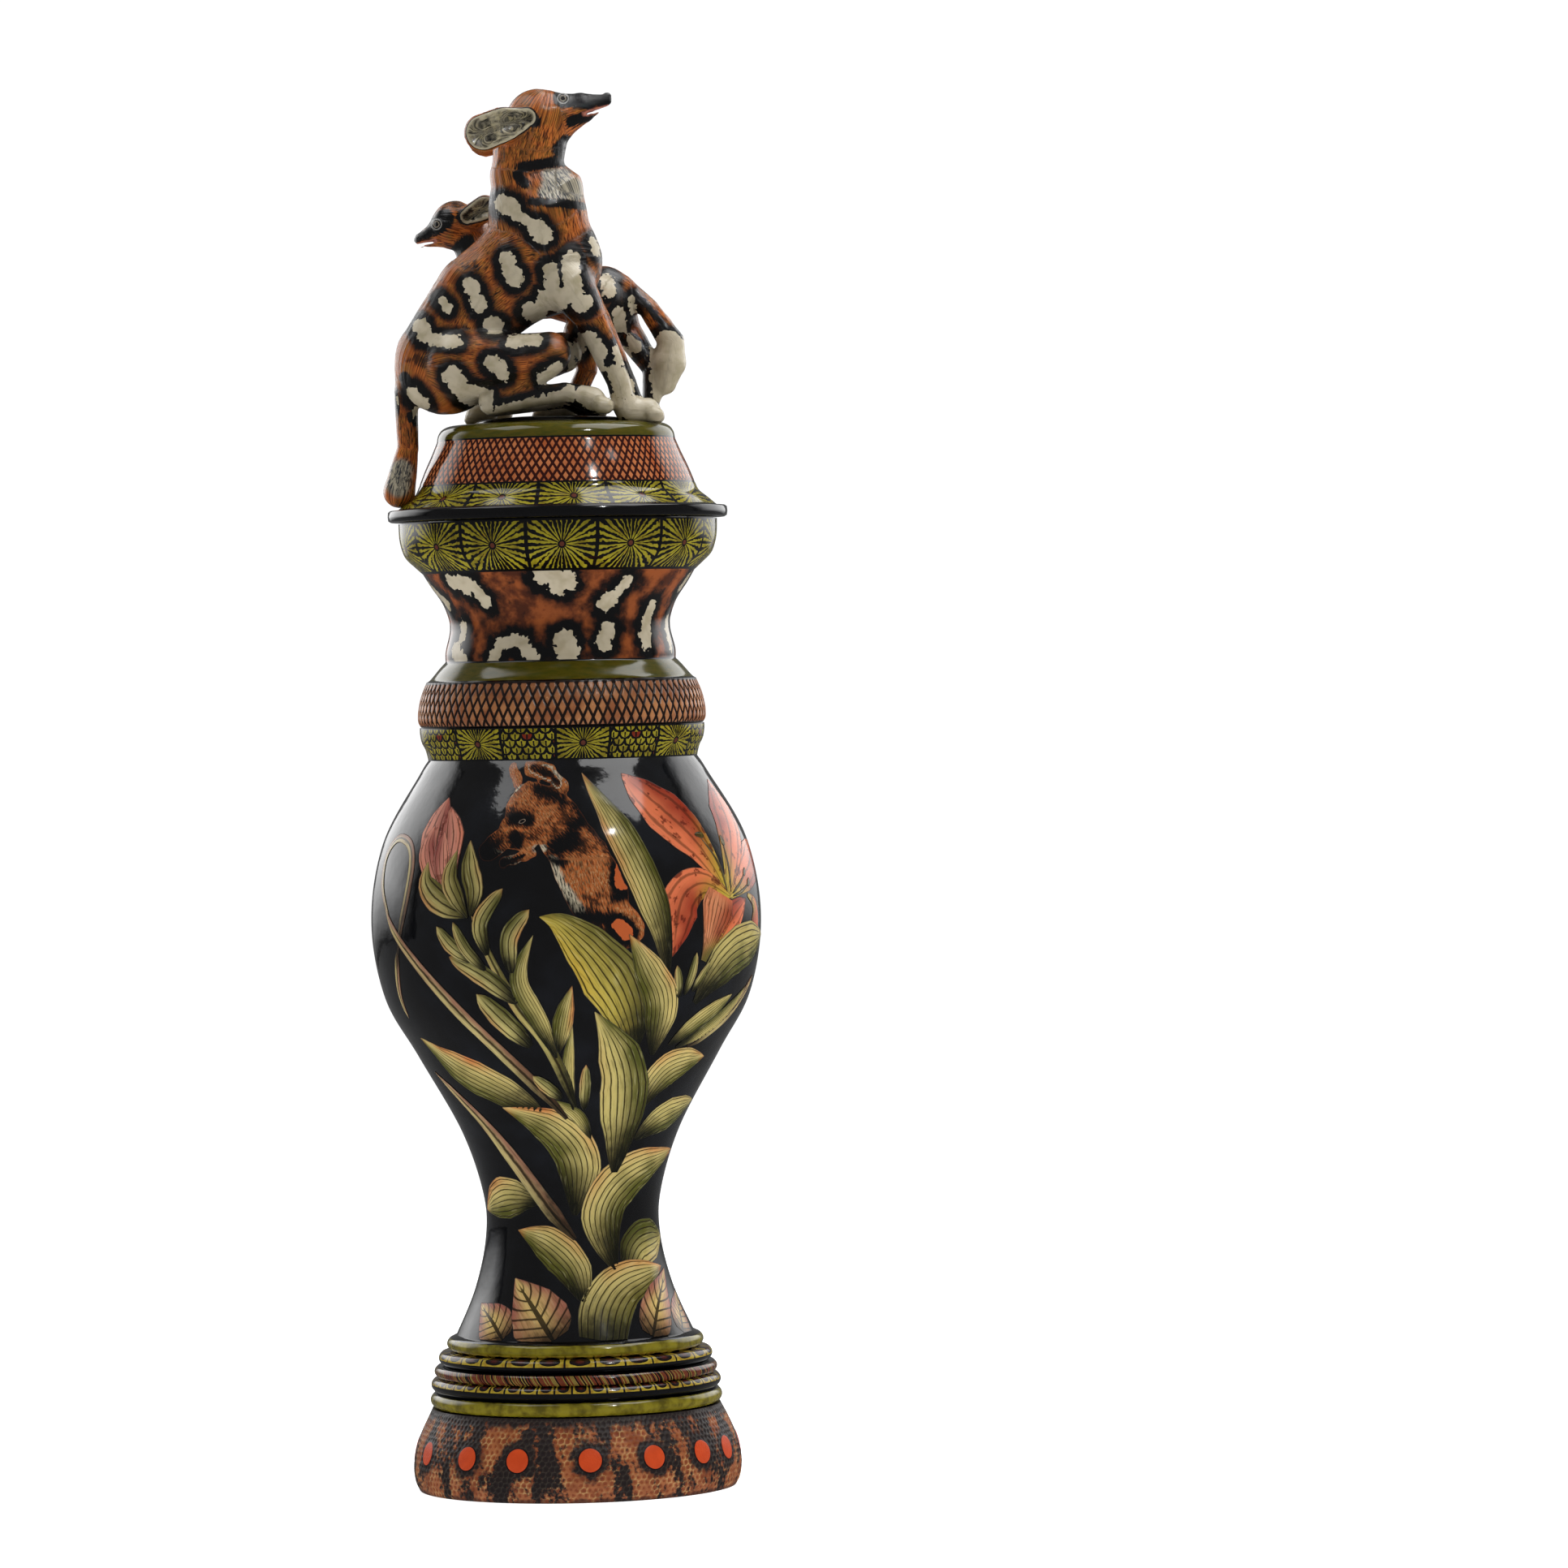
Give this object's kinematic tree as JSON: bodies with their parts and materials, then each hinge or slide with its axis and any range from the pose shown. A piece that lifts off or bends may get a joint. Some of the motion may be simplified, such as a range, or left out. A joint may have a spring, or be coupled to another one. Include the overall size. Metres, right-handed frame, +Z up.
{
  "type": "lidded ceramic urn",
  "caption": "Tall glazed ceramic urn with a beaded drum foot, waisted egg-shaped belly, flared neck section, and a domed lid carrying a sitting and a standing wild dog.",
  "frame": {"origin": "centre of the foot's flat underside", "axes": "+Z up along the urn's turning axis; +X the way the sitting dog faces; the painted front faces -Y"},
  "size_m": [0.2638, 0.2638, 0.9444],
  "materials": {
    "body_glaze": "glossy black glaze painted with lilies and leaves, satin stippled orange-brown foot",
    "neck_glaze": "glossy spotted orange-brown glaze over a satin incised ring",
    "lid_glaze": "glossy orange-brown glaze with black and cream patches"
  },
  "bodies": {
    "root": {"vase_body": "body_glaze", "neck_section": "neck_glaze", "lid": "lid_glaze"}
  },
  "joints": []
}
